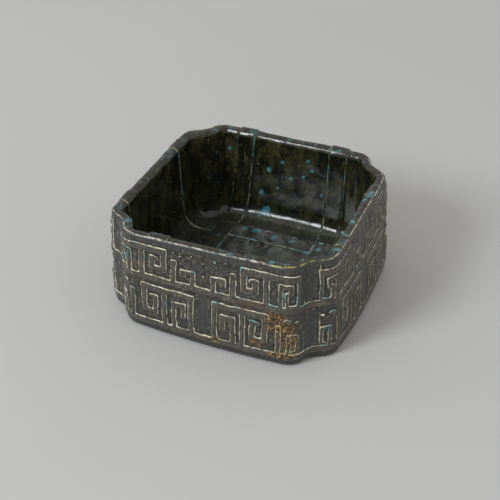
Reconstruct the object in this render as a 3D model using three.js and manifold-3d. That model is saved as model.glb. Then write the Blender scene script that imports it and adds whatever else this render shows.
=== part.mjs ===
// Square brush washer: a thick, press-moulded and glazed stoneware dish with indented corners.
// Straps cross the rim and the floor, and a square fret stands out on the four outer faces.
// Millimetres, +Z up, front towards -Y. The origin is the middle of the underside.
import * as THREE from 'three';
import { mergeVertices } from 'three/addons/utils/BufferGeometryUtils.js';
import Module from 'manifold-3d';

// Overall size. HALF is half the width of the rim across two opposite faces.
const HALF = 70.4;
const HEIGHT = 68.5;
const FLOOR_TOP = 6;

// Hand-made departures from a true square: a shallower depth, a narrower back, a foot that
// spreads and bellies out between its corners, and a front rim that is a little out of square
const DEPTH_RATIO = 0.955;
const BACK_NARROWING = 0.026;
const LOWER_SPREAD = 0.012;
const SPREAD_FULL_Z = 20;
const BELLY = 3.8;
const BELLY_HALF = 60;
const BELLY_MIDDLE = 8;
const FRONT_SLANT = 0.03;

// Edges longer than this are divided, so that the bellied faces follow their curve
const LONGEST_EDGE = 38;

// Corner outline: a rounded lobe on each side of a shallow hollow that sits on the diagonal
const LOBE_RADIUS = 10.8;
const HOLLOW_RADIUS = 12.6;
const LOBE_TURN = 69 * Math.PI / 180;
const INNER_LOBE_RADIUS = 4;
const LOBE_STEPS = 4;
const HOLLOW_STEPS = 2;

// The inner corners keep one shape, which shrinks towards this distance from the centre lines
const INNER_CORNER_ROOT = 45;
const INNER_MOUTH_INSET = 7.2;

// Wall section, each ring given as [distance in from the outer face, height]
const OUTER_RINGS = [
  [3.4, 0],
  [1.3, 0.5],
  [0.3, 1.7],
  [0, 3.6],
  [0, SPREAD_FULL_Z],
  [0, HEIGHT - 2],
  [0.6, HEIGHT - 0.7],
  [2, HEIGHT],
];
const INNER_RINGS = [
  [3, HEIGHT],
  [5.1, HEIGHT - 0.7],
  [6.6, HEIGHT - 2.5],
  [INNER_MOUTH_INSET, HEIGHT - 5],
  [9.6, FLOOR_TOP + 11],
  [10.9, FLOOR_TOP + 6],
  [13.6, FLOOR_TOP + 2.3],
  [18, FLOOR_TOP + 0.3],
  [22, FLOOR_TOP],
];

// Straps over the rim, down the inner wall and across the floor, two in each direction.
// Each is laid by eye: its middle on the first rim, on the floor and on the last rim.
// The under straps run from right to left, the over straps from front to back.
const UNDER_STRAPS = [[29.7, 38.6, 33.2], [-30.7, -37, -33.7]];
const OVER_STRAPS = [[-30.5, -36.8, -31], [28.4, 29.5, 33.6]];
const STRAP_WIDTH = 12;
const UNDER_STRAP_RAISE = 0.6;
const OVER_STRAP_RAISE = 0.9;
const STRAP_ROOT = 1.5;

// Fret relief, in millimetres along a face from its centre line and up from the underside.
// The whole pattern sits a little to the left of the centre line.
const FRET_RAISE = 1;
const FRET_ROOT = 1;
const FRET_SHIFT = -1.9;
const RAIL_BAND = 3.8;
const POST_BAND = 3.3;
const HOOK_BAND = 3;
const LOBE_BAND = 2.6;
const FINE_BAND = 1.8;
const RAIL_Z = 40.4;
const SILL_Z = 7.4;
const LINTEL_Z = 33.3;
const CROWN_Z = 60.9;
const CROWN_FROM = 25;
const RAIL_END = 57.5;
const BEND_GAP = 0.2;

const turnPoint = (angle, radius, cx, cy) => [
  cx + radius * Math.sin(angle),
  cy + radius * Math.cos(angle),
];

// Half of one face of the outline, from the middle of the face to the diagonal.
// Each point is [along the face, out from the centre].
function halfFace(inset) {
  const half = HALF - inset;
  const lobe = Math.max(LOBE_RADIUS - inset, INNER_LOBE_RADIUS);
  const hollow = HOLLOW_RADIUS + inset;
  const sin = Math.sin(LOBE_TURN);
  const cos = Math.cos(LOBE_TURN);
  const reach = lobe + (lobe + hollow) * (sin - cos);
  const points = [];
  for (let i = 0; i <= LOBE_STEPS; i += 1) {
    points.push(turnPoint(LOBE_TURN * i / LOBE_STEPS, lobe, half - reach, half - lobe));
  }
  const hollowX = half - reach + (lobe + hollow) * sin;
  const hollowY = half - lobe + (lobe + hollow) * cos;
  for (let i = 1; i <= HOLLOW_STEPS; i += 1) {
    const angle = LOBE_TURN + (Math.PI / 4 - LOBE_TURN) * i / HOLLOW_STEPS;
    points.push(turnPoint(angle, -hollow, hollowX, hollowY));
  }
  return points;
}

const quarterTurn = ([x, y], turns) => {
  const corners = [[x, y], [-y, x], [-x, -y], [y, -x]];
  return corners[turns];
};

// The same half face for a ring of the inner wall
function innerHalfFace(inset) {
  const mouth = HALF - INNER_MOUTH_INSET - INNER_CORNER_ROOT;
  const shrink = (HALF - inset - INNER_CORNER_ROOT) / mouth;
  const toRing = (value) => INNER_CORNER_ROOT + (value - INNER_CORNER_ROOT) * shrink;
  return halfFace(INNER_MOUTH_INSET).map(([x, y]) => [toRing(x), toRing(y)]);
}

// A whole outline from half a face, anticlockwise seen from above
function outline(half) {
  const points = [];
  for (let turns = 0; turns < 4; turns += 1) {
    const right = half.slice(0, -1).map((p) => quarterTurn(p, turns));
    const left = half.map(([x, y]) => quarterTurn([-x, y], turns));
    points.push(...right.reverse(), ...left);
  }
  return points;
}

function geometryFrom(positions, index) {
  const geometry = new THREE.BufferGeometry();
  geometry.setAttribute('position', new THREE.Float32BufferAttribute(positions.flat(), 3));
  geometry.setIndex(index);
  return geometry;
}

// The plain dish: rings up the outside, over the rim and down the inside, closed by two caps
function dishGeometry() {
  const outer = OUTER_RINGS.map(([inset, z]) => ({ z, points: outline(halfFace(inset)) }));
  const inner = INNER_RINGS.map(([inset, z]) => ({ z, points: outline(innerHalfFace(inset)) }));
  const rings = [...outer, ...inner];
  const count = rings[0].points.length;
  const positions = rings.flatMap(({ z, points }) => points.map(([x, y]) => [x, y, z]));
  const index = [];
  for (let ring = 0; ring + 1 < rings.length; ring += 1) {
    for (let i = 0; i < count; i += 1) {
      const a = ring * count + i;
      const b = ring * count + (i + 1) % count;
      index.push(a, b, b + count, a, b + count, a + count);
    }
  }
  const cap = (ring, faceUp) => {
    const first = ring * count;
    const contour = rings[ring].points.map(([x, y]) => new THREE.Vector2(x, y));
    for (const [a, b, c] of THREE.ShapeUtils.triangulateShape(contour, [])) {
      index.push(...(faceUp ? [first + a, first + b, first + c] : [first + a, first + c, first + b]));
    }
  };
  cap(0, false);
  cap(rings.length - 1, true);
  return geometryFrom(positions, index);
}

// Moves an open run of points sideways by a distance, to its left
function offsetRun(points, distance) {
  return points.map(([x, y], i) => {
    const [ax, ay] = points[Math.max(i - 1, 0)];
    const [bx, by] = points[Math.min(i + 1, points.length - 1)];
    const length = Math.hypot(bx - ax, by - ay);
    return [x - (by - ay) / length * distance, y + (bx - ax) / length * distance];
  });
}

// One strap as a prism: its side view runs from rim to rim and is pushed out by its width.
// Then each point is moved along to the strap's middle at its height.
function strapGeometry(raise, [firstRim, floor, lastRim]) {
  const lip = OUTER_RINGS.slice(-2);
  const near = [...lip, ...INNER_RINGS].map(([inset, z]) => [inset - HALF, z]);
  const far = near.map(([y, z]) => [-y, z]).reverse();
  const run = [...near, ...far];
  const sky = offsetRun(run, raise);
  const root = offsetRun(run, -STRAP_ROOT).reverse();
  const shape = new THREE.Shape([...sky, ...root].map(([y, z]) => new THREE.Vector2(y, z)));
  const prism = new THREE.ExtrudeGeometry(shape, { depth: STRAP_WIDTH, bevelEnabled: false });
  prism.translate(0, 0, -STRAP_WIDTH / 2);
  const position = prism.attributes.position;
  for (let i = 0; i < position.count; i += 1) {
    const rim = position.getX(i) < 0 ? firstRim : lastRim;
    const height = (position.getY(i) - FLOOR_TOP) / (HEIGHT - FLOOR_TOP);
    const middle = THREE.MathUtils.lerp(floor, rim, THREE.MathUtils.clamp(height, 0, 1));
    position.setZ(i, position.getZ(i) + middle);
  }
  prism.rotateX(Math.PI / 2);
  return prism.rotateZ(Math.PI / 2);
}

// Stations along a face where the outline bends, as distance along it from the centre line
function faceStations() {
  const points = [[0, HALF], ...halfFace(0)];
  let run = 0;
  const stations = [{ run: 0, point: points[0] }];
  for (let i = 1; i < points.length; i += 1) {
    run += Math.hypot(points[i][0] - points[i - 1][0], points[i][1] - points[i - 1][1]);
    stations.push({ run, point: points[i] });
  }
  return stations;
}

// A point on the outline at a distance along the face, with the direction that faces out there
function onFace(stations, run) {
  const along = Math.abs(run);
  const mirror = Math.sign(run) || 1;
  let k = 1;
  while (k < stations.length - 1 && stations[k].run < along) k += 1;
  const from = stations[k - 1];
  const to = stations[k];
  const part = (along - from.run) / (to.run - from.run);
  const dx = to.point[0] - from.point[0];
  const dy = to.point[1] - from.point[1];
  const length = Math.hypot(dx, dy);
  return {
    at: [mirror * (from.point[0] + dx * part), from.point[1] + dy * part],
    out: [mirror * -dy / length, dx / length],
  };
}

// A raised bar on a face between two distances along it and two heights
function barGeometry(stations, fromRun, toRun, lowZ, highZ) {
  const from = fromRun + FRET_SHIFT;
  const to = toRun + FRET_SHIFT;
  const bends = stations.flatMap(({ run }) => [-run, run]);
  const inside = bends.filter((run) => run > from + BEND_GAP && run < to - BEND_GAP);
  const runs = [...new Set([from, ...inside, to])].sort((a, b) => a - b);
  const section = [[-FRET_ROOT, lowZ], [FRET_RAISE, lowZ], [FRET_RAISE, highZ], [-FRET_ROOT, highZ]];
  const positions = [];
  const index = [];
  for (const run of runs) {
    const { at, out } = onFace(stations, run);
    for (const [depth, z] of section) {
      positions.push([at[0] + out[0] * depth, at[1] + out[1] * depth, z]);
    }
  }
  for (let k = 0; k + 1 < runs.length; k += 1) {
    for (let side = 0; side < 4; side += 1) {
      const a = 4 * k + side;
      const b = 4 * k + (side + 1) % 4;
      index.push(a, b, b + 4, a, b + 4, a + 4);
    }
  }
  const end = 4 * (runs.length - 1);
  index.push(0, 2, 1, 0, 3, 2);
  index.push(end, end + 1, end + 2, end, end + 2, end + 3);
  return geometryFrom(positions, index);
}

// Turns a path of corner points into bars, one for each straight leg
function pathBars(width, path) {
  const bars = [];
  for (let i = 0; i + 1 < path.length; i += 1) {
    const runs = [path[i][0], path[i + 1][0]].sort((a, b) => a - b);
    const heights = [path[i][1], path[i + 1][1]].sort((a, b) => a - b);
    const from = runs[0] - width / 2;
    const to = runs[1] + width / 2;
    bars.push([from, to, heights[0] - width / 2, heights[1] + width / 2]);
  }
  return bars;
}

// The upper row: a large square spiral, a short post, a small hook and the crown band above
const upperRow = () => [
  ...pathBars(RAIL_BAND, [[CROWN_FROM, CROWN_Z], [56, CROWN_Z]]),
  ...pathBars(POST_BAND, [[38.7, RAIL_Z], [38.7, CROWN_Z]]),
  ...pathBars(POST_BAND, [[24.9, CROWN_Z], [24.9, 48.3], [32, 48.3], [32, 55], [29.5, 55]]),
  ...pathBars(POST_BAND, [[18.4, RAIL_Z], [18.4, 55.5]]),
  ...pathBars(HOOK_BAND, [[6.5, RAIL_Z], [6.5, 50.5], [12.5, 50.5], [12.5, 47.8]]),
];

// The lower row: two taller spirals hung from one lintel, with a post between them
const lowerRow = () => [
  ...pathBars(RAIL_BAND, [[7.4, LINTEL_Z], [38, LINTEL_Z]]),
  ...pathBars(POST_BAND, [[7.4, SILL_Z], [7.4, LINTEL_Z]]),
  ...pathBars(POST_BAND, [[38, LINTEL_Z], [38, 16], [30.6, 16], [30.6, 27.2], [33.2, 27.2]]),
  ...pathBars(HOOK_BAND, [[24.5, SILL_Z], [24.5, LINTEL_Z]]),
  ...pathBars(HOOK_BAND, [[18.5, SILL_Z], [18.5, 26.1], [12.3, 26.1], [12.3, 18]]),
];

// Narrower spirals on the rounded lobe at the end of each face
const lobeFret = () => [
  ...pathBars(LOBE_BAND, [[46.8, RAIL_Z], [46.8, 55.9], [52.5, 55.9], [52.5, 52.5]]),
  ...pathBars(FINE_BAND, [[57, 60], [57, 43.2], [50.4, 43.2], [50.4, 51], [52.6, 51]]),
  ...pathBars(LOBE_BAND, [[45.8, SILL_Z], [45.8, 27.5]]),
  ...pathBars(FINE_BAND, [[51.6, 10], [51.6, 22.6], [56.4, 22.6], [56.4, 11], [54.4, 11]]),
];

// The two rails that part the rows and close them below
const rails = () => [RAIL_Z, SILL_Z].map((z) => [0, RAIL_END, z - RAIL_BAND / 2, z + RAIL_BAND / 2]);

// The fret of one face, mirrored about its centre line
function faceFret() {
  const stations = faceStations();
  const half = [...upperRow(), ...lowerRow(), ...lobeFret(), ...rails()];
  return half.flatMap(([from, to, low, high]) => {
    if (from <= 0) return [barGeometry(stations, -to, to, low, high)];
    return [barGeometry(stations, from, to, low, high), barGeometry(stations, -to, -from, low, high)];
  });
}

// How far the foot bellies out at a place along a face, as a share of the whole belly
const bow = (along) => Math.max(0, 1 - (along / BELLY_HALF) ** 2);

// Moves a point from the true square to its place on the hand-made dish
function settle(vector) {
  const { x, y, z } = vector;
  const fall = THREE.MathUtils.clamp((HEIGHT - z) / (HEIGHT - SPREAD_FULL_Z), 0, 1);
  const spread = 1 + LOWER_SPREAD * fall;
  const belly = BELLY / HALF * fall;
  const taper = 1 - BACK_NARROWING * y / HALF;
  const slant = FRONT_SLANT * (HALF - y) / (2 * HALF) * (1 - fall);
  const newX = x * (spread + belly * bow(y)) * taper;
  const newY = y * (spread + belly * bow(x - BELLY_MIDDLE)) * DEPTH_RATIO + slant * x;
  return vector.set(newX, newY, z);
}

const wasm = await Module();
wasm.setup();

function solidFrom(geometry) {
  const bare = geometry.clone();
  bare.deleteAttribute('normal');
  bare.deleteAttribute('uv');
  const merged = mergeVertices(bare, 1e-4);
  return new wasm.Manifold(new wasm.Mesh({
    numProp: 3,
    vertProperties: new Float32Array(merged.attributes.position.array),
    triVerts: new Uint32Array(merged.index.array),
  }));
}

function geometryOf(solid) {
  const mesh = solid.getMesh();
  const geometry = new THREE.BufferGeometry();
  geometry.setAttribute('position', new THREE.BufferAttribute(new Float32Array(mesh.vertProperties), 3));
  geometry.setIndex(new THREE.BufferAttribute(new Uint32Array(mesh.triVerts), 1));
  return geometry;
}

// The dish with its straps and the fret of all four faces as one piece
function washerGeometry() {
  let solid = solidFrom(dishGeometry());
  for (const middles of UNDER_STRAPS) {
    solid = solid.add(solidFrom(strapGeometry(UNDER_STRAP_RAISE, middles).rotateZ(Math.PI / 2)));
  }
  for (const middles of OVER_STRAPS) {
    solid = solid.add(solidFrom(strapGeometry(OVER_STRAP_RAISE, middles)));
  }
  for (const bar of faceFret()) {
    for (let turns = 0; turns < 4; turns += 1) {
      solid = solid.add(solidFrom(bar.clone().rotateZ(turns * Math.PI / 2)));
    }
  }
  const geometry = geometryOf(solid.refineToLength(LONGEST_EDGE));
  const position = geometry.attributes.position;
  const vector = new THREE.Vector3();
  for (let i = 0; i < position.count; i += 1) {
    settle(vector.fromBufferAttribute(position, i));
    position.setXYZ(i, vector.x, vector.y, vector.z);
  }
  geometry.computeVertexNormals();
  return geometry;
}

const glaze = new THREE.MeshStandardMaterial({ color: 0x3b3a35, roughness: 0.35, metalness: 0 });
const washer = new THREE.Mesh(washerGeometry(), glaze);
washer.name = 'brush_washer';

const object = new THREE.Group();
object.name = 'square_brush_washer';
object.add(washer);

export default object;
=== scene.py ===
"""The looks of the square brush washer: a glazed stoneware dish on a pale studio floor.

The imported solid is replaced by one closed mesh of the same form, with the fine relief of the
fret, the straps and the uneven glaze. Lengths here are in millimetres until the mesh is made.
"""

import math

import bpy
import numpy as np
from mathutils import Matrix, Vector


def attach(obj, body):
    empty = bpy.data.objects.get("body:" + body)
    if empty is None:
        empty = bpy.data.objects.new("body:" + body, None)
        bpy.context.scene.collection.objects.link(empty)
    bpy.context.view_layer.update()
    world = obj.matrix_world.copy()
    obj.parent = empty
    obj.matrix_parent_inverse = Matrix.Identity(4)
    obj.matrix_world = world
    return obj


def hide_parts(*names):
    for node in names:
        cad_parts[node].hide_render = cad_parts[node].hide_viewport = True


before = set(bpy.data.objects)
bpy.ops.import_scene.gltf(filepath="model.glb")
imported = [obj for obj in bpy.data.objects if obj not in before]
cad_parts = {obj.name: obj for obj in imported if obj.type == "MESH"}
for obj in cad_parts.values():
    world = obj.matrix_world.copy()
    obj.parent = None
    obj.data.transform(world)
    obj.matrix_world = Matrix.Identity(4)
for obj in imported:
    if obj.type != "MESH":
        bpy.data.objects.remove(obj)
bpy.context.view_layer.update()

# Form, as in the part
HALF = 70.4
HEIGHT = 68.5
FLOOR_TOP = 6.0
DEPTH_RATIO = 0.955
BACK_NARROWING = 0.026
LOWER_SPREAD = 0.012
SPREAD_FULL_Z = 20.0
BELLY = 3.8
BELLY_HALF = 60.0
BELLY_MIDDLE = 8.0
FRONT_SLANT = 0.03
LOBE_RADIUS = 10.8
HOLLOW_RADIUS = 12.6
LOBE_TURN = math.radians(69.0)
INNER_LOBE_RADIUS = 4.0
INNER_CORNER_ROOT = 45.0
LIP_INSET = 3.0
INNER_MOUTH_INSET = 7.2
INNER_MOUTH_DROP = 5.0
SHOULDER_RADIUS = 2.0
COVE_HEIGHT = 11.0

# The straps' middles on the first rim, on the floor and on the last rim
UNDER_STRAPS = ((29.7, 38.6, 33.2), (-30.7, -37.0, -33.7))
OVER_STRAPS = ((-30.5, -36.8, -31.0), (28.4, 29.5, 33.6))
STRAP_WIDTH = 12.0
UNDER_STRAP_RAISE = 0.6
OVER_STRAP_RAISE = 0.9

# Fret
FRET_RAISE = 1.0
FRET_SHIFT = -1.9
RAIL_BAND = 3.8
POST_BAND = 3.3
HOOK_BAND = 3.0
TAIL_BAND = 2.5
LOBE_BAND = 2.6
FINE_BAND = 1.8
BAR_CORNER = 0.5
# How far inside a worn mark's edge its pale line of glaze runs
BOSS_EDGE_INSET = 0.62
RAIL_Z = 40.4
SILL_Z = 7.4
LINTEL_Z = 33.3
CROWN_Z = 60.9
# The rails run on through the corner hollows, past the ends of the face
RAIL_END = 70.0

# Mesh
FACE_COLUMNS = 170
WALL_ROWS = 86
INNER_STEP = 1.35
CORNER_COLUMNS = 12
# Where the straps' middles are on the nominal columns of an inner face
COLUMN_MIDDLES = (-33.0, 33.0)
MM = 0.001

# What the glaze is told at places away from the fret, and away from straps and lip
CLEAR_OF_FRET = 6.0
FAR = 9.0
# How far up the fret is measured again, to tell upper edges from lower ones, which get more
# painted light
UP_STEP = 0.25


# Numbers


def smooth(edge0, edge1, value):
    part = np.clip((value - edge0) / (edge1 - edge0), 0.0, 1.0)
    return part * part * (3.0 - 2.0 * part)


def lattice(ix, iy, iz, seed):
    """A repeatable random number from -1 to 1 for each lattice point."""
    mask = np.uint64(0xFFFFFFFF)
    key = ix.astype(np.int64) * 374761393 + iy.astype(np.int64) * 668265263
    key = key + iz.astype(np.int64) * 1442695041 + seed * 362437
    key = key.astype(np.uint64) & mask
    key = ((key ^ (key >> np.uint64(13))) * np.uint64(1274126177)) & mask
    key = key ^ (key >> np.uint64(16))
    return key.astype(np.float64) / float(0xFFFFFFFF) * 2.0 - 1.0


def noise(points, size, seed):
    """Smooth random values over points, with lumps of about this size in millimetres."""
    cell = points / size
    low = np.floor(cell).astype(np.int64)
    part = cell - low
    part = part * part * (3.0 - 2.0 * part)
    total = np.zeros(len(points))
    for dx in (0, 1):
        for dy in (0, 1):
            for dz in (0, 1):
                weight = (part[:, 0] if dx else 1.0 - part[:, 0])
                weight = weight * (part[:, 1] if dy else 1.0 - part[:, 1])
                weight = weight * (part[:, 2] if dz else 1.0 - part[:, 2])
                total += weight * lattice(low[:, 0] + dx, low[:, 1] + dy, low[:, 2] + dz, seed)
    return total


# Outline


def outline_point(run, half, lobe, hollow):
    """Points and outward directions along one face, run measured from its centre line."""
    along = np.abs(run)
    side = np.where(run < 0, -1.0, 1.0)
    sin = math.sin(LOBE_TURN)
    cos = math.cos(LOBE_TURN)
    straight = half - lobe - (lobe + hollow) * (sin - cos)
    lobe_angle = np.clip((along - straight) / lobe, 0.0, LOBE_TURN)
    past_lobe = along - straight - lobe * LOBE_TURN
    angle = lobe_angle - np.clip(past_lobe / hollow, 0.0, LOBE_TURN - math.pi / 4)
    x = np.minimum(along, straight) + lobe * np.sin(lobe_angle)
    y = half - lobe + lobe * np.cos(lobe_angle)
    hollow_x = straight + (lobe + hollow) * sin - hollow * np.sin(angle)
    hollow_y = half - lobe + (lobe + hollow) * cos - hollow * np.cos(angle)
    x = np.where(past_lobe > 0, hollow_x, x)
    y = np.where(past_lobe > 0, hollow_y, y)
    return np.stack([x * side, y], -1), np.stack([np.sin(angle) * side, np.cos(angle)], -1)


def half_length(half, lobe, hollow):
    """Length of half a face, from its centre line to the diagonal."""
    sin = math.sin(LOBE_TURN)
    cos = math.cos(LOBE_TURN)
    straight = half - lobe - (lobe + hollow) * (sin - cos)
    return straight + lobe * LOBE_TURN + hollow * (LOBE_TURN - math.pi / 4)


def to_world(face, flat):
    """Turns [along, out] on a face into x and y. Face 0 is the front, then anticlockwise."""
    along, out = flat[..., 0], flat[..., 1]
    turned = ((along, -out), (out, along), (-along, out), (-out, -along))[face]
    return np.stack(turned, -1)


FACE_HALF = half_length(HALF, LOBE_RADIUS, HOLLOW_RADIUS)
LOBE_END = FACE_HALF - HOLLOW_RADIUS * (LOBE_TURN - math.pi / 4) + 0.4
MOUTH_HALF = HALF - INNER_MOUTH_INSET
MOUTH_HOLLOW = HOLLOW_RADIUS + INNER_MOUTH_INSET
INNER_FACE_HALF = half_length(MOUTH_HALF, INNER_LOBE_RADIUS, MOUTH_HOLLOW)


def inner_point(run, inset):
    """Points on a ring of the inner wall: straight inside the corner root, one shape beyond it."""
    mouth, out = outline_point(run, MOUTH_HALF, INNER_LOBE_RADIUS, MOUTH_HOLLOW)
    shrink = (HALF - inset - INNER_CORNER_ROOT) / (MOUTH_HALF - INNER_CORNER_ROOT)
    side = np.where(run < 0, -1.0, 1.0)
    corner_x = side * (INNER_CORNER_ROOT + (np.abs(mouth[:, 0]) - INNER_CORNER_ROOT) * shrink)
    corner_y = INNER_CORNER_ROOT + (mouth[:, 1] - INNER_CORNER_ROOT) * shrink
    flat = np.abs(run) <= INNER_CORNER_ROOT
    x = np.where(flat, run, corner_x)
    y = np.where(flat, HALF - inset, corner_y)
    return np.stack([x, y], -1), out


# Fret


def path_bars(path, width):
    """Bars along the straight legs of a path of corners, as [u0, u1, z0, z1]."""
    bars = []
    for start, end in zip(path[:-1], path[1:]):
        u0, u1 = sorted((start[0], end[0]))
        z0, z1 = sorted((start[1], end[1]))
        grow = width / 2
        bars.append((u0 - grow, u1 + grow, z0 - grow, z1 + grow))
    return bars


def half_fret():
    """The bars of half a face, out from its centre line."""
    bars = path_bars([(25.0, CROWN_Z), (56.0, CROWN_Z)], RAIL_BAND)
    bars += path_bars([(38.7, RAIL_Z), (38.7, CROWN_Z)], POST_BAND)
    bars += path_bars([(24.9, CROWN_Z), (24.9, 48.3), (32.0, 48.3), (32.0, 55.0)], POST_BAND)
    bars += path_bars([(32.0, 55.0), (29.5, 55.0)], TAIL_BAND)
    bars += path_bars([(18.4, RAIL_Z), (18.4, 55.5)], POST_BAND)
    bars += path_bars([(6.5, RAIL_Z), (6.5, 50.5), (12.5, 50.5), (12.5, 47.8)], HOOK_BAND)
    bars += path_bars([(7.4, LINTEL_Z), (38.0, LINTEL_Z)], RAIL_BAND)
    bars += path_bars([(7.4, SILL_Z), (7.4, LINTEL_Z)], POST_BAND)
    bars += path_bars([(38.0, LINTEL_Z), (38.0, 16.0), (30.6, 16.0), (30.6, 27.2)], POST_BAND)
    bars += path_bars([(30.6, 27.2), (33.2, 27.2)], TAIL_BAND)
    bars += path_bars([(24.5, SILL_Z), (24.5, LINTEL_Z)], HOOK_BAND)
    bars += path_bars([(18.5, SILL_Z), (18.5, 26.1), (12.3, 26.1), (12.3, 18.0)], HOOK_BAND)
    bars += path_bars([(46.8, RAIL_Z), (46.8, 55.9), (52.5, 55.9), (52.5, 52.5)], LOBE_BAND)
    bars += path_bars([(57.0, 60.0), (57.0, 43.2), (50.4, 43.2), (50.4, 51.0)], FINE_BAND)
    bars += path_bars([(50.4, 51.0), (52.6, 51.0)], FINE_BAND)
    bars += path_bars([(45.8, SILL_Z), (45.8, 27.5)], LOBE_BAND)
    bars += path_bars([(51.6, 10.0), (51.6, 22.6), (56.4, 22.6), (56.4, 11.0)], FINE_BAND)
    bars += path_bars([(56.4, 11.0), (54.4, 11.0)], FINE_BAND)
    return bars


def face_bars():
    bars = []
    for u0, u1, z0, z1 in half_fret():
        bars.append((u0, u1, z0, z1))
        bars.append((-u1, -u0, z0, z1))
    for z in (RAIL_Z, SILL_Z):
        bars.append((-RAIL_END, RAIL_END, z - RAIL_BAND / 2, z + RAIL_BAND / 2))
    return bars


def face_bosses():
    """The mask's worn marks and two on each lobe, as [u, z, radius across, radius up, rise]."""
    bosses = [
        (-18.1, 62.3, 1.6, 0.8, 0.7),
        (-13.4, 62.6, 2.6, 0.6, 0.6),
        (-14.0, 60.6, 1.4, 0.8, 0.7),
        (-8.5, 58.0, 0.9, 1.1, 0.5),
        (-7.4, 62.2, 0.9, 0.8, 0.5),
        (7.3, 61.8, 1.2, 1.3, 0.5),
        (8.2, 58.2, 0.9, 0.8, 0.5),
        (13.9, 62.7, 1.9, 0.6, 0.6),
        (18.7, 61.6, 3.3, 0.6, 0.6),
        (14.7, 59.8, 1.0, 0.8, 0.6),
    ]
    for side in (-1, 1):
        bosses.append((side * 50.6, 33.2, 2.6, 1.5, 0.7))
        bosses.append((side * 56.2, 31.8, 1.5, 1.2, 0.6))
    for z, size in ((63.9, 0.8), (59.3, 1.2), (56.0, 0.8), (50.2, 1.3), (45.4, 0.9)):
        bosses.append((0.2, z, size * 0.7, size, 0.5))
    return bosses


def bar_distance(u, z, bar):
    """Signed distance to a bar with rounded corners, negative inside."""
    u0, u1, z0, z1 = bar
    dx = np.abs(u - (u0 + u1) / 2) - (u1 - u0) / 2 + BAR_CORNER
    dz = np.abs(z - (z0 + z1) / 2) - (z1 - z0) / 2 + BAR_CORNER
    outside = np.hypot(np.maximum(dx, 0), np.maximum(dz, 0))
    return outside + np.minimum(np.maximum(dx, dz), 0) - BAR_CORNER


def fret_distance(u, z):
    """Distance to the edges that the glaze breaks on, signed distance to the relief, its rise."""
    u = u - FRET_SHIFT
    nearest = np.full(len(u), FAR)
    rise = np.ones(len(u))
    for bar in face_bars():
        nearest = np.minimum(nearest, bar_distance(u, z, bar))
    edges = nearest
    for cu, cz, ru, rz, boss_rise in face_bosses():
        scale = np.sqrt(((u - cu) / ru) ** 2 + ((z - cz) / rz) ** 2)
        distance = (scale - 1.0) * min(ru, rz)
        closer = distance < nearest
        nearest = np.where(closer, distance, nearest)
        rise = np.where(closer, boss_rise, rise)
        edges = np.minimum(edges, distance + BOSS_EDGE_INSET)
    return edges, nearest, rise


# Glaze marks, in the true square before it is settled

# Rust-brown glaze that ran over the front face, as [along, z, radius across, radius up, strength]
MELTS = (
    (45.0, 29.0, 8.0, 5.5, 1.1),
    (42.0, 34.5, 6.0, 2.6, 0.9),
    (50.0, 18.0, 7.0, 8.0, 0.7),
    (31.0, 14.0, 5.5, 3.0, 0.9),
    (45.0, 8.0, 9.0, 2.5, 0.9),
    (7.0, 8.5, 3.5, 2.2, 0.8),
    (25.0, 40.2, 14.0, 2.4, 0.45),
    (-8.0, 7.5, 16.0, 2.0, 0.3),
    (12.0, 22.0, 4.0, 8.0, 0.35),
)

# Turquoise spots on the back wall, as [x, z, radius], and on the floor, as [x, y, radius]
WALL_SPOTS = ((-43.3, 54.0, 1.4), (-15.4, 44.0, 2.0), (-5.7, 52.0, 1.3), (0.6, 41.0, 1.7),
              (12.3, 57.0, 1.3), (15.4, 50.0, 1.4), (-20.5, 25.0, 1.8), (8.9, 44.0, 1.4),
              (-16.7, 12.0, 3.0), (-20.5, 10.0, 2.0), (22.0, 33.0, 1.2), (-9.0, 31.0, 1.3))
FLOOR_SPOTS = ((-24.0, 42.0, 2.2), (-16.0, 43.0, 3.0), (-3.0, 40.0, 2.0), (9.0, 40.0, 1.8),
               (27.0, 46.0, 2.0), (28.0, 38.0, 1.8), (-36.0, 29.0, 1.6), (-20.0, 8.0, 1.5),
               (12.0, 14.0, 1.3))

# The ringed bump on the floor
BUMP_AT = (-9.2, 29.9)
BUMP_RISE = 1.9
BUMP_RADIUS = 4.0
BUMP_RING_RADIUS = 6.2
BUMP_RING_RISE = 0.4
BUMP_RING_WIDTH = 0.9


def marks(x, y, places):
    """Soft round marks over flat coordinates, one at the middle of each."""
    total = np.zeros(len(x))
    for cx, cy, radius in places:
        total = np.maximum(total, smooth(1.5, 0.5, np.hypot(x - cx, y - cy) / radius))
    return total


def melted(u, z):
    """How far the glaze has run at places on the front face, from 0 to 1."""
    total = np.zeros(len(u))
    for cu, cz, ru, rz, strength in MELTS:
        total += strength * np.exp(-(((u - cu) / ru) ** 2) - ((z - cz) / rz) ** 2)
    return np.clip(total, 0.0, 1.0)


# Mesh rows


def face_straps(face, z):
    """The middles of a face's two straps at a height, measured along it, from low to high."""
    straps = (OVER_STRAPS, UNDER_STRAPS)[face % 2]
    rim = (0, 0, 2, 2)[face]
    mirror = (1, 1, -1, -1)[face]
    part = np.clip((z - FLOOR_TOP) / (HEIGHT - FLOOR_TOP), 0.0, 1.0)
    middles = [mirror * (strap[1] + (strap[rim] - strap[1]) * part) for strap in straps]
    return sorted(middles)


def strap_distance(along, middles):
    """Signed distance to the nearest edge of a strap, negative on the strap."""
    return np.minimum(*[np.abs(along - middle) for middle in middles]) - STRAP_WIDTH / 2


def strap_height(distance, rise):
    ridge = 0.10 * np.exp(-(((distance + 0.7) / 0.6) ** 2))
    return rise * smooth(0.6, -0.6, distance) + ridge


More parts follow.
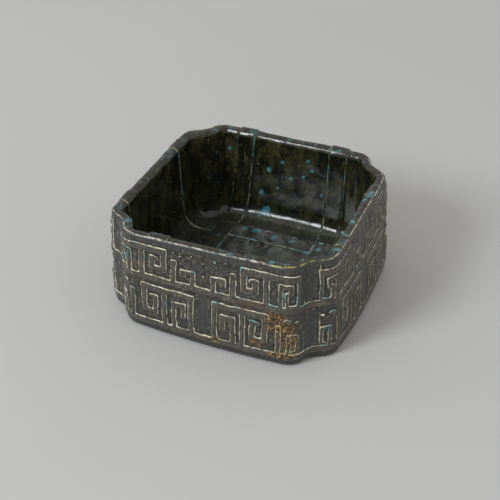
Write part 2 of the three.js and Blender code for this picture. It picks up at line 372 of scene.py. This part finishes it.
def outer_profile():
    """Rings of the outside as [inset, z], from the underside to the middle of the rim."""
    heel = [(3.4, 0.0), (2.3, 0.12), (1.3, 0.5), (0.7, 1.05), (0.3, 1.7), (0.08, 2.6)]
    radius = SHOULDER_RADIUS
    wall = [(0.0, z) for z in np.linspace(3.6, HEIGHT - radius, WALL_ROWS)]
    turns = np.linspace(0, math.pi / 2, 7)[1:]
    shoulder = [(radius * (1 - math.cos(t)), HEIGHT - radius + radius * math.sin(t))
                for t in turns]
    return heel + wall + shoulder


def inner_profile():
    """Rings of the inside as [inset, z], from the top of the rim to the root square."""
    turns = np.linspace(0, math.pi / 2, 10)
    across = INNER_MOUTH_INSET - LIP_INSET
    drop = INNER_MOUTH_DROP
    lip = [(LIP_INSET + across * math.sin(t), HEIGHT - drop * (1 - math.cos(t))) for t in turns]
    cove_top = FLOOR_TOP + COVE_HEIGHT
    wall_drop = HEIGHT - drop - cove_top
    count = int(wall_drop / INNER_STEP)
    parts = np.linspace(0, 1, count + 1)[1:]
    wall = [(INNER_MOUTH_INSET + 2.4 * p, HEIGHT - drop - wall_drop * p) for p in parts]
    cove = []
    corners = np.array([(9.6, cove_top), (10.4, FLOOR_TOP + 5.0),
                        (13.2, FLOOR_TOP), (22.0, FLOOR_TOP)])
    for t in np.linspace(0, 1, 13)[1:]:
        weights = np.array([(1 - t) ** 3, 3 * t * (1 - t) ** 2, 3 * t * t * (1 - t), t ** 3])
        cove.append(tuple(weights @ corners))
    return lip + wall + cove + [(23.8, FLOOR_TOP)]


def profile_normal(profile, k):
    """How far the surface faces outward and upward at one ring of a profile."""
    before = np.array(profile[max(k - 1, 0)])
    after = np.array(profile[min(k + 1, len(profile) - 1)])
    step = (after - before) / np.linalg.norm(after - before)
    return step[1], step[0]


def column_stops(middles):
    """Places along a face that stay with the straps: their edges, and the corner roots."""
    stops = [-INNER_CORNER_ROOT]
    for middle in sorted(middles):
        stops += [middle + side * (STRAP_WIDTH / 2 + step) for side, step in
                  ((-1, 0.6), (-1, -0.6), (1, -0.6), (1, 0.6))]
    return np.array(stops + [INNER_CORNER_ROOT])


def inner_columns():
    """Nominal places along the straight part of an inner face, closer at the strap edges."""
    stops = column_stops(COLUMN_MIDDLES)
    columns = []
    for start, end in zip(stops[:-1], stops[1:]):
        count = 4 if end - start < 1.3 else max(2, round((end - start) / INNER_STEP))
        columns.append(np.linspace(start, end, count + 1)[:-1])
    return np.append(np.concatenate(columns), INNER_CORNER_ROOT)


def columns_at(columns, middles):
    """Moves nominal columns along so that they follow the straps at these middles."""
    return np.interp(columns, column_stops(COLUMN_MIDDLES), column_stops(middles))


class Surface:
    """Points of the mesh with what the glaze needs to know at each of them."""

    NAMES = ("fret", "fret_up", "strap", "under_strap", "inside", "lip", "melt", "spot")

    def __init__(self):
        self.points = []
        self.values = {name: [] for name in self.NAMES}
        self.count = 0

    def add(self, points, **values):
        first = self.count
        self.points.append(points)
        for name in self.NAMES:
            value = values.get(name, 0.0)
            self.values[name].append(np.broadcast_to(value, len(points)).astype(float))
        self.count += len(points)
        return first


def outer_relief(face, runs, z, place):
    """How far one ring of a face stands out, with what the glaze needs to know about its fret."""
    warp_u = 0.45 * noise(place, 9.0, 11) + 0.32 * noise(place, 3.2, 12)
    warp_z = 0.45 * noise(place, 11.0, 13) + 0.30 * noise(place, 3.2, 14)
    u = runs + warp_u
    edge, distance, rise = fret_distance(u, z + warp_z)
    above = fret_distance(u, z + warp_z + UP_STEP)[0]
    up = (above - edge) / UP_STEP
    crease = np.abs(np.abs(runs) - LOBE_END) + 0.1 * noise(place, 6.0, 17)
    edge = np.minimum(edge, crease)
    run_over = melted(runs, z) if face == 0 else np.zeros(len(runs))
    worn = (0.85 + 0.3 * noise(place, 13.0, 15)) * (1 - 0.45 * run_over)
    worn = worn * (1 - 0.45 * smooth(LOBE_END - 2.5, LOBE_END + 1.5, np.abs(runs)))
    crown = 0.12 * np.clip(-distance, 0, 1.4)
    on_wall = smooth(2.0, 3.4, z) * smooth(HEIGHT - 1.5, HEIGHT - 4.0, z)
    relief = (FRET_RAISE - 0.15) * rise * worn * smooth(0.45, -0.4, distance)
    lump = 0.35 * run_over * noise(place, 4.0, 16)
    relief = (relief + crown * rise + lump) * on_wall
    edge = np.where(on_wall > 0.02, edge, CLEAR_OF_FRET)
    return relief, {"fret": edge, "fret_up": up, "melt": run_over}


def outer_face(face, runs, profile, k):
    """One face's part of a ring of the outside, with its glaze values."""
    inset, z = profile[k]
    outward, upward = profile_normal(profile, k)
    flat, out = outline_point(runs, HALF, LOBE_RADIUS, HOLLOW_RADIUS)
    place = np.column_stack([to_world(face, flat - out * inset), np.full(len(runs), z)])
    relief, values = outer_relief(face, runs, z, place)
    strap = strap_distance(runs, face_straps(face, HEIGHT))
    strap_rise = UNDER_STRAP_RAISE if face % 2 else OVER_STRAP_RAISE
    over_rim = smooth(HEIGHT - 1.9, HEIGHT - 0.4, z)
    lift = strap_height(strap, strap_rise) * over_rim
    flat = flat - out * (inset - relief - lift * outward)[:, None]
    at_corner = smooth(40.0, 50.0, np.abs(runs))
    lip = np.hypot(inset - 0.5 - 0.9 * at_corner, z - HEIGHT + 0.6 - 0.45 * at_corner)
    far = np.full(len(runs), FAR)
    above_middle = z > HEIGHT / 2
    rim = 0.5 * smooth(0.4, 2.0, inset) if above_middle else 0.0
    values["strap"] = strap if over_rim > 0.3 else far
    values["under_strap"] = far
    values["spot"] = np.zeros(len(runs))
    values["lip"] = lip if above_middle else far
    values["inside"] = np.full(len(runs), rim)
    return np.column_stack([to_world(face, flat), z + lift * upward]), values


def outer_rows(surface):
    """The outside of the dish, with its relief. Returns the first index of each ring."""
    runs = np.linspace(-FACE_HALF, FACE_HALF, FACE_COLUMNS + 1)[:-1]
    profile = outer_profile()
    firsts = []
    for k in range(len(profile)):
        quarters = [outer_face(face, runs, profile, k) for face in range(4)]
        joined = {name: np.concatenate([values[name] for _, values in quarters])
                  for name in Surface.NAMES}
        firsts.append(surface.add(np.concatenate([points for points, _ in quarters]), **joined))
    return firsts, 4 * len(runs)


def inner_rows(surface):
    """The inside of the dish down to the square that the floor grid fills."""
    straight = inner_columns()
    corner = np.linspace(INNER_CORNER_ROOT, INNER_FACE_HALF, CORNER_COLUMNS + 1)
    runs = np.concatenate([-corner[::-1][:-1], straight, corner[1:-1]])
    profile = inner_profile()
    firsts = []
    for k, (inset, z) in enumerate(profile):
        outward, upward = profile_normal(profile, k)
        points = []
        straps = []
        spots = []
        for face in range(4):
            middles = face_straps(face, z)
            on_face = np.abs(runs) <= INNER_CORNER_ROOT
            moved = np.where(on_face, columns_at(runs, middles), runs)
            flat, out = inner_point(moved, inset)
            strap = np.where(on_face, strap_distance(moved, middles), 3.0)
            strap_rise = UNDER_STRAP_RAISE if face % 2 else OVER_STRAP_RAISE
            lift = strap_height(strap, strap_rise)
            flat = flat + out * (lift * outward)[:, None]
            place = np.column_stack([to_world(face, flat), z + lift * upward])
            points.append(place)
            straps.append(strap)
            on_back = face == 2 and z < HEIGHT - INNER_MOUTH_DROP
            spots.append(marks(-moved, np.full(len(runs), z), WALL_SPOTS if on_back else ()))
        inside = 0.5 + 0.5 * float(smooth(5.0, 6.8, inset))
        joined = np.concatenate(points)
        firsts.append(surface.add(joined, fret=CLEAR_OF_FRET, strap=np.concatenate(straps),
                                  under_strap=FAR, inside=inside, lip=FAR,
                                  spot=np.concatenate(spots)))
    return firsts, runs, straight


def floor_grid(surface, straight):
    """The flat middle of the floor, where the straps cross, with the ringed bump."""
    over_middles = face_straps(0, FLOOR_TOP)
    under_middles = face_straps(1, FLOOR_TOP)
    x, y = np.meshgrid(columns_at(straight, over_middles), columns_at(straight, under_middles),
                       indexing="ij")
    x, y = x.ravel(), y.ravel()
    over = strap_distance(x, over_middles)
    under = strap_distance(y, under_middles)
    lift = np.maximum(strap_height(over, OVER_STRAP_RAISE), strap_height(under, UNDER_STRAP_RAISE))
    from_bump = np.hypot(x - BUMP_AT[0], y - BUMP_AT[1])
    ring = BUMP_RING_RISE * np.exp(-(((from_bump - BUMP_RING_RADIUS) / BUMP_RING_WIDTH) ** 2))
    bump = BUMP_RISE * smooth(BUMP_RADIUS, 0.2, from_bump) + ring
    points = np.column_stack([x, y, FLOOR_TOP + lift + bump])
    return surface.add(points, fret=CLEAR_OF_FRET, strap=over, under_strap=under,
                       inside=1.0, lip=FAR, spot=marks(x, y, FLOOR_SPOTS))


def ring_quads(lower, upper, count):
    i = np.arange(count)
    j = (i + 1) % count
    return np.column_stack([lower + i, lower + j, upper + j, upper + i]).tolist()


def zip_rings(outer_first, outer_count, inner_first, inner_count, outer_at, inner_at):
    """Triangles between two rings with different numbers of points, matched by place."""
    faces = []
    i = j = 0
    while i < outer_count or j < inner_count:
        next_outer = outer_at[i + 1] if i < outer_count else math.inf
        next_inner = inner_at[j + 1] if j < inner_count else math.inf
        a = outer_first + i % outer_count
        b = inner_first + j % inner_count
        if next_outer <= next_inner:
            faces.append([a, outer_first + (i + 1) % outer_count, b])
            i += 1
        else:
            faces.append([a, inner_first + (j + 1) % inner_count, b])
            j += 1
    return faces


def ring_places(face_places):
    """Places round the whole ring, face after face, ending one full turn on."""
    whole = np.concatenate([face_places + face for face in range(4)])
    return np.append(whole, face_places[0] + 4)


def bow(along):
    """How far the foot bellies out at a place along a face, as a share of the whole belly."""
    return np.maximum(0.0, 1.0 - (along / BELLY_HALF) ** 2)


def settle(points):
    """Moves points from the true square to their places on the hand-made dish."""
    x, y, z = points.T
    fall = np.clip((HEIGHT - z) / (HEIGHT - SPREAD_FULL_Z), 0, 1)
    spread = 1 + LOWER_SPREAD * fall
    belly = BELLY / HALF * fall
    taper = 1 - BACK_NARROWING * y / HALF
    slant = FRONT_SLANT * (HALF - y) / (2 * HALF) * (1 - fall)
    new_x = x * (spread + belly * bow(y)) * taper
    new_y = y * (spread + belly * bow(x - BELLY_MIDDLE)) * DEPTH_RATIO + slant * x
    return np.column_stack([new_x, new_y, z])


def vertex_normals(points, faces):
    normals = np.zeros_like(points)
    for corners in (3, 4):
        block = np.array([f for f in faces if len(f) == corners])
        if len(block) == 0:
            continue
        first = points[block[:, 2]] - points[block[:, 0]]
        second = points[block[:, -1]] - points[block[:, 1]]
        cross = np.cross(first, second)
        for k in range(corners):
            np.add.at(normals, block[:, k], cross)
    return normals / np.maximum(np.linalg.norm(normals, axis=1), 1e-9)[:, None]


def roughen(points, faces, inside):
    """The slow waves and small lumps of a thick glaze over pressed clay."""
    normals = vertex_normals(points, faces)
    ripple = 0.13 + 0.10 * smooth(0.5, 1.0, inside)
    wave = 0.28 * noise(points, 24.0, 21) + ripple * noise(points, 8.0, 22)
    grain = 0.13 * noise(points, 3.4, 23) + 0.06 * noise(points, 1.7, 24)
    amount = wave + grain * (1 - 0.8 * smooth(0.3, 1.0, inside))
    standing = smooth(0.4, 3.0, points[:, 2])
    moved = points + normals * (amount * standing)[:, None]
    in_plan = points * np.array([1, 1, 0.0]) + 5.0
    moved[:, 2] += 0.35 * noise(in_plan, 40.0, 25) * smooth(30, HEIGHT, points[:, 2])
    return moved


def dish_mesh():
    surface = Surface()
    outer, outer_count = outer_rows(surface)
    inner, runs, straight = inner_rows(surface)
    inner_count = 4 * len(runs)
    faces = []
    for lower, upper in zip(outer[:-1], outer[1:]):
        faces += ring_quads(lower, upper, outer_count)
    for lower, upper in zip(inner[:-1], inner[1:]):
        faces += ring_quads(lower, upper, inner_count)
    outer_runs = np.linspace(-FACE_HALF, FACE_HALF, FACE_COLUMNS + 1)[:-1]
    outer_at = ring_places(corner_matched(outer_runs, FACE_HALF))
    inner_at = ring_places(corner_matched(runs, INNER_FACE_HALF))
    faces += zip_rings(outer[-1], outer_count, inner[0], inner_count, outer_at, inner_at)
    square = floor_grid(surface, straight)
    faces += floor_faces(square, len(straight))
    faces += root_faces(inner[-1], runs, square, straight)
    faces.append(list(range(outer[0], outer[0] + outer_count))[::-1])
    points = settle(np.concatenate(surface.points))
    values = {name: np.concatenate(surface.values[name]) for name in Surface.NAMES}
    body = [f for f in faces if len(f) < 5]
    points = roughen(points, body, values["inside"])
    return points, faces, values


def corner_matched(runs, face_half):
    """Places from 0 to 1 along a face that agree between rings in the straight part."""
    root = INNER_CORNER_ROOT
    along = np.abs(runs)
    beyond = root + (along - root) / (face_half - root) * (FACE_HALF - root)
    place = np.sign(runs) * np.where(along > root, beyond, along)
    return (place + FACE_HALF) / (2 * FACE_HALF)


def floor_faces(first, count):
    i, j = np.meshgrid(np.arange(count - 1), np.arange(count - 1), indexing="ij")
    a = (first + i * count + j).ravel()
    return np.column_stack([a, a + count, a + count + 1, a + 1]).tolist()


def root_faces(ring, runs, square, straight):
    """Joins the last whole ring to the border of the floor grid, each corner to one point."""
    n = len(straight)
    grid = np.arange(n)
    borders = (
        square + grid * n,
        square + (n - 1) * n + grid,
        square + grid[::-1] * n + (n - 1),
        square + grid[::-1],
    )
    per_face = len(runs)
    column = np.clip(np.searchsorted(straight, runs - 1e-6), 0, n - 1)
    column = np.where(runs < -INNER_CORNER_ROOT, 0, column)
    column = np.where(runs > INNER_CORNER_ROOT, n - 1, column)
    target = np.concatenate([borders[face][column] for face in range(4)])
    total = 4 * per_face
    faces = []
    for i in range(total):
        j = (i + 1) % total
        quad = [ring + i, ring + j, int(target[j]), int(target[i])]
        if target[i] == target[j]:
            quad = quad[:3]
        faces.append(quad)
    return faces


points, faces, values = dish_mesh()
mesh = bpy.data.meshes.new("dish")
mesh.from_pydata((points * MM).tolist(), [], faces)
mesh.validate()
for name, value in values.items():
    mesh.attributes.new(name, "FLOAT", "POINT").data.foreach_set("value", value.astype(np.float32))
mesh.polygons.foreach_set("use_smooth", np.ones(len(mesh.polygons), bool))
dish = bpy.data.objects.new("dish", mesh)
bpy.context.scene.collection.objects.link(dish)


# Glaze


class Graph:
    """Short names for building a material's nodes."""

    def __init__(self, name):
        self.material = bpy.data.materials.new(name)
        self.material.use_nodes = True
        self.tree = self.material.node_tree
        self.shader = self.tree.nodes["Principled BSDF"]

    def put(self, socket, value):
        if isinstance(value, bpy.types.NodeSocket):
            self.tree.links.new(value, socket)
        elif hasattr(socket.default_value, "__len__") and len(socket.default_value) == 4:
            socket.default_value = tuple(value)[:3] + (1.0,)
        else:
            socket.default_value = value

    def math(self, operation, a, b=0.0):
        node = self.tree.nodes.new("ShaderNodeMath")
        node.operation = operation
        self.put(node.inputs[0], a)
        self.put(node.inputs[1], b)
        return node.outputs[0]

    def ramp(self, value, low, high, to_low=0.0, to_high=1.0):
        """A smooth step of value from low to high."""
        node = self.tree.nodes.new("ShaderNodeMapRange")
        node.interpolation_type = "SMOOTHSTEP"
        for socket, given in zip(node.inputs[:5], (value, low, high, to_low, to_high)):
            self.put(socket, given)
        return node.outputs[0]

    def mix(self, part, a, b):
        node = self.tree.nodes.new("ShaderNodeMix")
        node.data_type = "RGBA"
        self.put(node.inputs["Factor"], part)
        self.put(node.inputs[6], a)
        self.put(node.inputs[7], b)
        return node.outputs[2]

    def mix_value(self, part, a, b):
        """A number between a and b."""
        node = self.tree.nodes.new("ShaderNodeMix")
        self.put(node.inputs["Factor"], part)
        self.put(node.inputs[2], a)
        self.put(node.inputs[3], b)
        return node.outputs[0]

    def attribute(self, name):
        node = self.tree.nodes.new("ShaderNodeAttribute")
        node.attribute_name = name
        return node.outputs["Fac"]

    def noise(self, size, detail=2.0, roughness=0.5, stretch=(1, 1, 1)):
        """Noise with lumps of about this size in millimetres."""
        coordinates = self.tree.nodes.new("ShaderNodeTexCoord")
        mapping = self.tree.nodes.new("ShaderNodeMapping")
        mapping.inputs["Scale"].default_value = stretch
        self.tree.links.new(coordinates.outputs["Object"], mapping.inputs["Vector"])
        node = self.tree.nodes.new("ShaderNodeTexNoise")
        node.inputs["Scale"].default_value = 1.0 / (size * MM)
        node.inputs["Detail"].default_value = detail
        node.inputs["Roughness"].default_value = roughness
        self.tree.links.new(mapping.outputs[0], node.inputs["Vector"])
        return node.outputs["Fac"]

    def bump(self, height, distance, strength=1.0, normal=None):
        node = self.tree.nodes.new("ShaderNodeBump")
        node.inputs["Distance"].default_value = distance * MM
        node.inputs["Strength"].default_value = strength
        self.put(node.inputs["Height"], height)
        if normal is not None:
            self.tree.links.new(normal, node.inputs["Normal"])
        return node.outputs[0]

    def coordinate(self, axis):
        """Object height or place, in millimetres."""
        coordinates = self.tree.nodes.new("ShaderNodeTexCoord")
        split = self.tree.nodes.new("ShaderNodeSeparateXYZ")
        self.tree.links.new(coordinates.outputs["Object"], split.inputs[0])
        return self.math("MULTIPLY", split.outputs[axis], 1.0 / MM)


def band(graph, value, centre, width):
    """One where value is at centre, falling to nothing at width either side."""
    off = graph.math("ABSOLUTE", graph.math("SUBTRACT", value, centre))
    return graph.ramp(graph.math("DIVIDE", off, width), 1.0, 0.25)


def ground_colour(g, fret):
    """Mottled grey-brown glaze, with painted shade in the grooves beside the fret, and greyer on
    the ground.
    """
    cloud = g.noise(13.0, 3.0)
    grain = g.noise(1.7, 4.0, 0.72)
    height = g.coordinate("Z")
    colour = g.mix(g.ramp(grain, 0.45, 0.60), (0.006, 0.006, 0.004), (0.172, 0.148, 0.108))
    colour = g.mix(g.ramp(cloud, 0.35, 0.65, 0.0, 0.5), colour, (0.050, 0.046, 0.038))
    colour = g.mix(g.ramp(fret, 0.3, -0.6, 0.0, 0.35), colour, (0.120, 0.108, 0.090))
    # Painted shade: the ground just outside the fret's edges is darkened as if shaded by the
    # raised bars.
    painted_shade_depth = g.ramp(g.noise(4.0, 2.0), 0.3, 0.6, 0.5, 1.0)
    painted_groove_shade = g.math("MULTIPLY", band(g, fret, 0.85, 0.7), painted_shade_depth)
    colour = g.mix(painted_groove_shade, colour, (0.010, 0.010, 0.008))
    inner_groove = g.math("MULTIPLY", band(g, fret, -0.75, 0.45), 0.5)
    colour = g.mix(inner_groove, colour, (0.024, 0.022, 0.018))
    pool_depth = g.ramp(g.noise(9.0, 2.0), 0.42, 0.62, 0.05, 0.75)
    pool = g.math("MULTIPLY", g.ramp(fret, 0.8, 1.9), pool_depth)
    pool = g.math("MAXIMUM", pool, g.ramp(fret, 2.2, 3.2, 0.0, 0.85))
    colour = g.mix(pool, colour, (0.038, 0.044, 0.043))
    foot = g.math("MULTIPLY", g.ramp(height, 5.8, 4.4), 0.75)
    return g.mix(foot, colour, (0.026, 0.028, 0.025))


def with_rust(g, colour, melt):
    """Adds rust-brown mottles and a few yellow ones where the glaze has run."""
    mottle = g.ramp(g.noise(1.6, 4.0, 0.75), 0.47, 0.66)
    tint = g.mix(mottle, (0.026, 0.016, 0.008), (0.42, 0.22, 0.07))
    tint = g.mix(g.ramp(g.noise(1.9, 4.0, 0.7), 0.60, 0.66), tint, (0.62, 0.50, 0.16))
    rust = g.math("MULTIPLY", melt, g.ramp(g.noise(3.4, 4.0, 0.7), 0.30, 0.48))
    return g.mix(g.ramp(rust, 0.05, 0.75), colour, tint)


def with_fret_edges(g, colour, fret, fret_up, melt):
    """Adds broken cream and turquoise lines on the fret's edges, with painted light on upper edges
    and painted shade on the right face.
    """
    width = g.ramp(g.noise(7.0, 3.0, 0.6), 0.35, 0.65, 0.22, 0.48)
    edge = band(g, fret, 0.05, width)
    # Painted light: edges that face upward are made brighter, as if catching the light from above.
    painted_upper_light = g.ramp(fret_up, -0.7, 0.7, 0.35, 1.0)
    broken = g.ramp(g.noise(2.6, 4.0, 0.75), 0.38, 0.54, 0.10, 1.0)
    edge = g.math("MULTIPLY", g.math("MULTIPLY", edge, painted_upper_light), broken)
    # Painted shade: the edge lines are dimmed to half on the right face, which is turned away from
    # the key light.
    past_corner = g.ramp(g.coordinate("Y"), -56.0, -42.0)
    right_face_shade = g.math("MULTIPLY", g.ramp(g.coordinate("X"), 58.0, 66.0), past_corner)
    edge = g.math("MULTIPLY", edge, g.ramp(right_face_shade, 0.0, 1.0, 1.0, 0.5))
    tint = g.mix(g.ramp(g.noise(3.0, 2.0), 0.40, 0.58), (0.60, 0.54, 0.30), (0.98, 0.95, 0.80))
    tint = g.mix(g.ramp(g.noise(9.0, 2.0), 0.54, 0.62), tint, (0.24, 0.52, 0.52))
    tint = g.mix(g.math("MULTIPLY", melt, 0.75), tint, (0.50, 0.34, 0.08))
    return g.mix(edge, colour, tint)


def rim_colour(g):
    """The rim: grey-brown and mottled, with long turquoise patches."""
    mottle = g.ramp(g.noise(3.0, 4.0, 0.7), 0.38, 0.62)
    rim = g.mix(mottle, (0.013, 0.013, 0.009), (0.046, 0.043, 0.031))
    patch = g.ramp(g.noise(7.0, 4.0, 0.65), 0.52, 0.65)
    strength = g.math("MULTIPLY", g.ramp(g.coordinate("X"), -66.0, -50.0, 0.3, 0.85),
                      g.ramp(g.coordinate("Y"), 40.0, 60.0, 1.0, 0.55))
    return g.mix(g.math("MULTIPLY", patch, strength), rim, (0.12, 0.31, 0.34))


def inside_colour(g, spot):
    """Near black inside, with olive runs, turquoise spots, painted glints and a painted reflection
    on the floor.
    """
    run = g.ramp(g.noise(8.0, 4.0, 0.7, (1, 1, 0.4)), 0.42, 0.64)
    colour = g.mix(run, (0.008, 0.009, 0.006), (0.042, 0.042, 0.018))
    stain = g.ramp(g.noise(3.4, 4.0, 0.75, (1, 1, 0.5)), 0.56, 0.68)
    colour = g.mix(g.math("MULTIPLY", stain, 0.6), colour, (0.125, 0.112, 0.030))
    height = g.coordinate("Z")
    # Painted reflection: the floor is made a lighter mottled grey, standing for what its glossy
    # glaze reflects.
    on_floor = g.ramp(height, 16.0, 7.5)
    painted_floor_reflection = g.math("MULTIPLY", on_floor, g.ramp(g.noise(2.6, 4.0, 0.7), 0.36, 0.64, 0.15, 0.7))
    colour = g.mix(painted_floor_reflection, colour, (0.065, 0.072, 0.062))
    # Painted glints: small pale dots stand for sparkles of light on the glaze.
    painted_glints = g.ramp(g.noise(1.7, 2.0, 0.5), 0.72, 0.77)
    colour = g.mix(g.math("MULTIPLY", painted_glints, 0.85), colour, (0.48, 0.52, 0.45))
    stray = g.ramp(g.noise(6.5, 2.0, 0.5), 0.70, 0.82)
    fray = g.math("MULTIPLY", g.math("SUBTRACT", g.noise(1.8, 3.0, 0.6), 0.5), 1.6)
    ragged = g.math("ADD", spot, fray)
    blue = g.math("MAXIMUM", stray, g.ramp(ragged, 0.25, 1.00))
    blue_mottle = g.ramp(g.noise(1.8, 3.0, 0.7), 0.40, 0.62)
    blue_tint = g.mix(blue_mottle, (0.035, 0.16, 0.21), (0.12, 0.42, 0.49))
    return g.mix(g.math("MULTIPLY", blue, 0.85), colour, blue_tint)


def with_lip(g, colour):
    """Adds the cream line along the lip, yellower at the near right corner."""
    broken = g.ramp(g.noise(4.0, 4.0, 0.7), 0.40, 0.58)
    line = g.math("MULTIPLY", g.ramp(g.attribute("lip"), 0.65, 0.2), broken)
    at_front = g.ramp(g.coordinate("Y"), -44.0, -52.0)
    near_corner = g.math("MULTIPLY", g.ramp(g.coordinate("X"), 34.0, 44.0), at_front)
    yellow = g.math("MAXIMUM", near_corner, g.ramp(g.noise(14.0, 2.0), 0.56, 0.64))
    return g.mix(line, colour, g.mix(yellow, (0.62, 0.55, 0.44), (0.46, 0.43, 0.10)))


def with_straps(g, colour):
    """Adds the olive and turquoise lines along the edges of the straps."""
    strap = g.attribute("strap")
    under = g.attribute("under_strap")
    below = g.math("MULTIPLY", band(g, under, -0.1, 0.55), g.ramp(strap, 0.0, 0.3))
    edge = g.math("MAXIMUM", band(g, strap, -0.1, 0.55), below)
    broken = g.ramp(g.noise(4.5, 4.0, 0.7), 0.40, 0.62, 0.08, 1.0)
    bluer = g.ramp(g.noise(12.0, 2.0), 0.46, 0.58)
    tint = g.mix(bluer, (0.34, 0.34, 0.20), (0.17, 0.42, 0.44))
    return g.mix(g.math("MULTIPLY", edge, broken), colour, tint)


def glaze_roughness(g, rim_part, inner_part):
    """Satin outside, glossier on the rim and wet-looking inside."""
    fine = g.noise(1.1, 3.0, 0.6)
    outside = g.ramp(fine, 0.35, 0.65, 0.20, 0.42)
    rough = g.mix_value(rim_part, outside, g.ramp(fine, 0.3, 0.7, 0.13, 0.26))
    return g.mix_value(inner_part, rough, g.ramp(fine, 0.3, 0.8, 0.04, 0.10))


def glaze_surface(g, rim_part, inner_part):
    """The grain and the small swells of the glaze, weaker on the rim and inside."""
    depth = g.mix_value(inner_part, g.mix_value(rim_part, 1.0, 0.6), 0.32)
    grain = g.bump(g.math("MULTIPLY", g.noise(1.0, 3.0, 0.6), depth), 0.22, 0.9)
    waves = g.mix_value(inner_part, g.mix_value(rim_part, 1.0, 0.7), 0.4)
    return g.bump(g.math("MULTIPLY", g.noise(4.6, 2.0, 0.45), waves), 0.45, 0.6, grain)


def glaze():
    g = Graph("glaze")
    inside = g.attribute("inside")
    rim_part = g.ramp(inside, 0.0, 0.35)
    inner_part = g.ramp(inside, 0.55, 0.95)
    fret = g.attribute("fret")
    melt = g.attribute("melt")
    colour = with_rust(g, ground_colour(g, fret), melt)
    colour = with_fret_edges(g, colour, fret, g.attribute("fret_up"), melt)
    colour = g.mix(rim_part, colour, rim_colour(g))
    colour = with_lip(g, colour)
    colour = g.mix(inner_part, colour, inside_colour(g, g.attribute("spot")))
    g.put(g.shader.inputs["Base Color"], with_straps(g, colour))
    g.put(g.shader.inputs["Roughness"], glaze_roughness(g, rim_part, inner_part))
    g.put(g.shader.inputs["Normal"], glaze_surface(g, rim_part, inner_part))
    g.shader.inputs["IOR"].default_value = 1.58
    return g.material


dish.data.materials.append(glaze())
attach(dish, "root")
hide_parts("brush_washer")


# Camera, where the photograph was taken from
AZIMUTH = math.radians(23.64)
ELEVATION = math.radians(35.21)
ROLL = math.radians(-0.64)
DISTANCE = 0.879
LENS = 101.8
AIM_LEFT = 0.0021
AIM_DOWN = 0.0082

back = Vector((math.sin(AZIMUTH) * math.cos(ELEVATION), -math.cos(AZIMUTH) * math.cos(ELEVATION),
               math.sin(ELEVATION)))
right = Vector((math.cos(AZIMUTH), math.sin(AZIMUTH), 0.0))
up = back.cross(right)
centre = Vector((0.0, 0.0, HEIGHT * MM / 2))
place = centre + back * DISTANCE
aim = centre - right * AIM_LEFT - up * AIM_DOWN
view_back = (place - aim).normalized()
view_right = Vector((0, 0, 1)).cross(view_back).normalized()
view_up = view_back.cross(view_right)
roll_right = view_right * math.cos(ROLL) + view_up * math.sin(ROLL)
roll_up = view_up * math.cos(ROLL) - view_right * math.sin(ROLL)
turn = Matrix((roll_right, roll_up, view_back)).transposed()
camera_data = bpy.data.cameras.new("camera")
camera_data.lens = LENS
camera_data.sensor_width = 36.0
camera = bpy.data.objects.new("camera", camera_data)
camera.matrix_world = Matrix.Translation(place) @ turn.to_4x4()
bpy.context.scene.collection.objects.link(camera)
bpy.context.scene.camera = camera


# Studio: a pale floor, one large soft light and an even fill
floor_mesh = bpy.data.meshes.new("studio_floor")
REACH = 4.0
FLOOR_CLEARANCE = 0.0002
floor_corners = [(-REACH, -REACH, 0), (REACH, -REACH, 0), (REACH, REACH, 0), (-REACH, REACH, 0)]
floor_mesh.from_pydata(floor_corners, [], [(0, 1, 2, 3)])
studio_floor = bpy.data.objects.new("studio_floor", floor_mesh)
studio_floor.location.z = -FLOOR_CLEARANCE
bpy.context.scene.collection.objects.link(studio_floor)
paper = Graph("paper")
paper.put(paper.shader.inputs["Base Color"],
          paper.mix(paper.noise(300.0, 2.0), (0.60, 0.605, 0.60), (0.63, 0.63, 0.625)))
paper.shader.inputs["Roughness"].default_value = 0.9
floor_mesh.materials.append(paper.material)


def soft_light(name, direction, distance, size, power, colour):
    data = bpy.data.lights.new(name, "AREA")
    data.shape = "RECTANGLE"
    data.size, data.size_y = size
    data.energy = power
    data.color = colour
    light = bpy.data.objects.new(name, data)
    aim_from = Vector(direction).normalized()
    light.location = aim_from * distance
    light.rotation_euler = aim_from.to_track_quat("Z", "Y").to_euler()
    bpy.context.scene.collection.objects.link(light)


soft_light("key", direction=(-0.405, -0.655, 0.545), distance=2.6, size=(0.85, 0.85), power=33.5,
           colour=(0.925, 0.97, 1.0))

world = bpy.data.worlds.new("studio")
bpy.context.scene.world = world
world.use_nodes = True
world.node_tree.nodes["Background"].inputs["Color"].default_value = (1.0, 0.98, 0.945, 1.0)
world.node_tree.nodes["Background"].inputs["Strength"].default_value = 0.55
bpy.context.scene.view_settings.view_transform = "Standard"
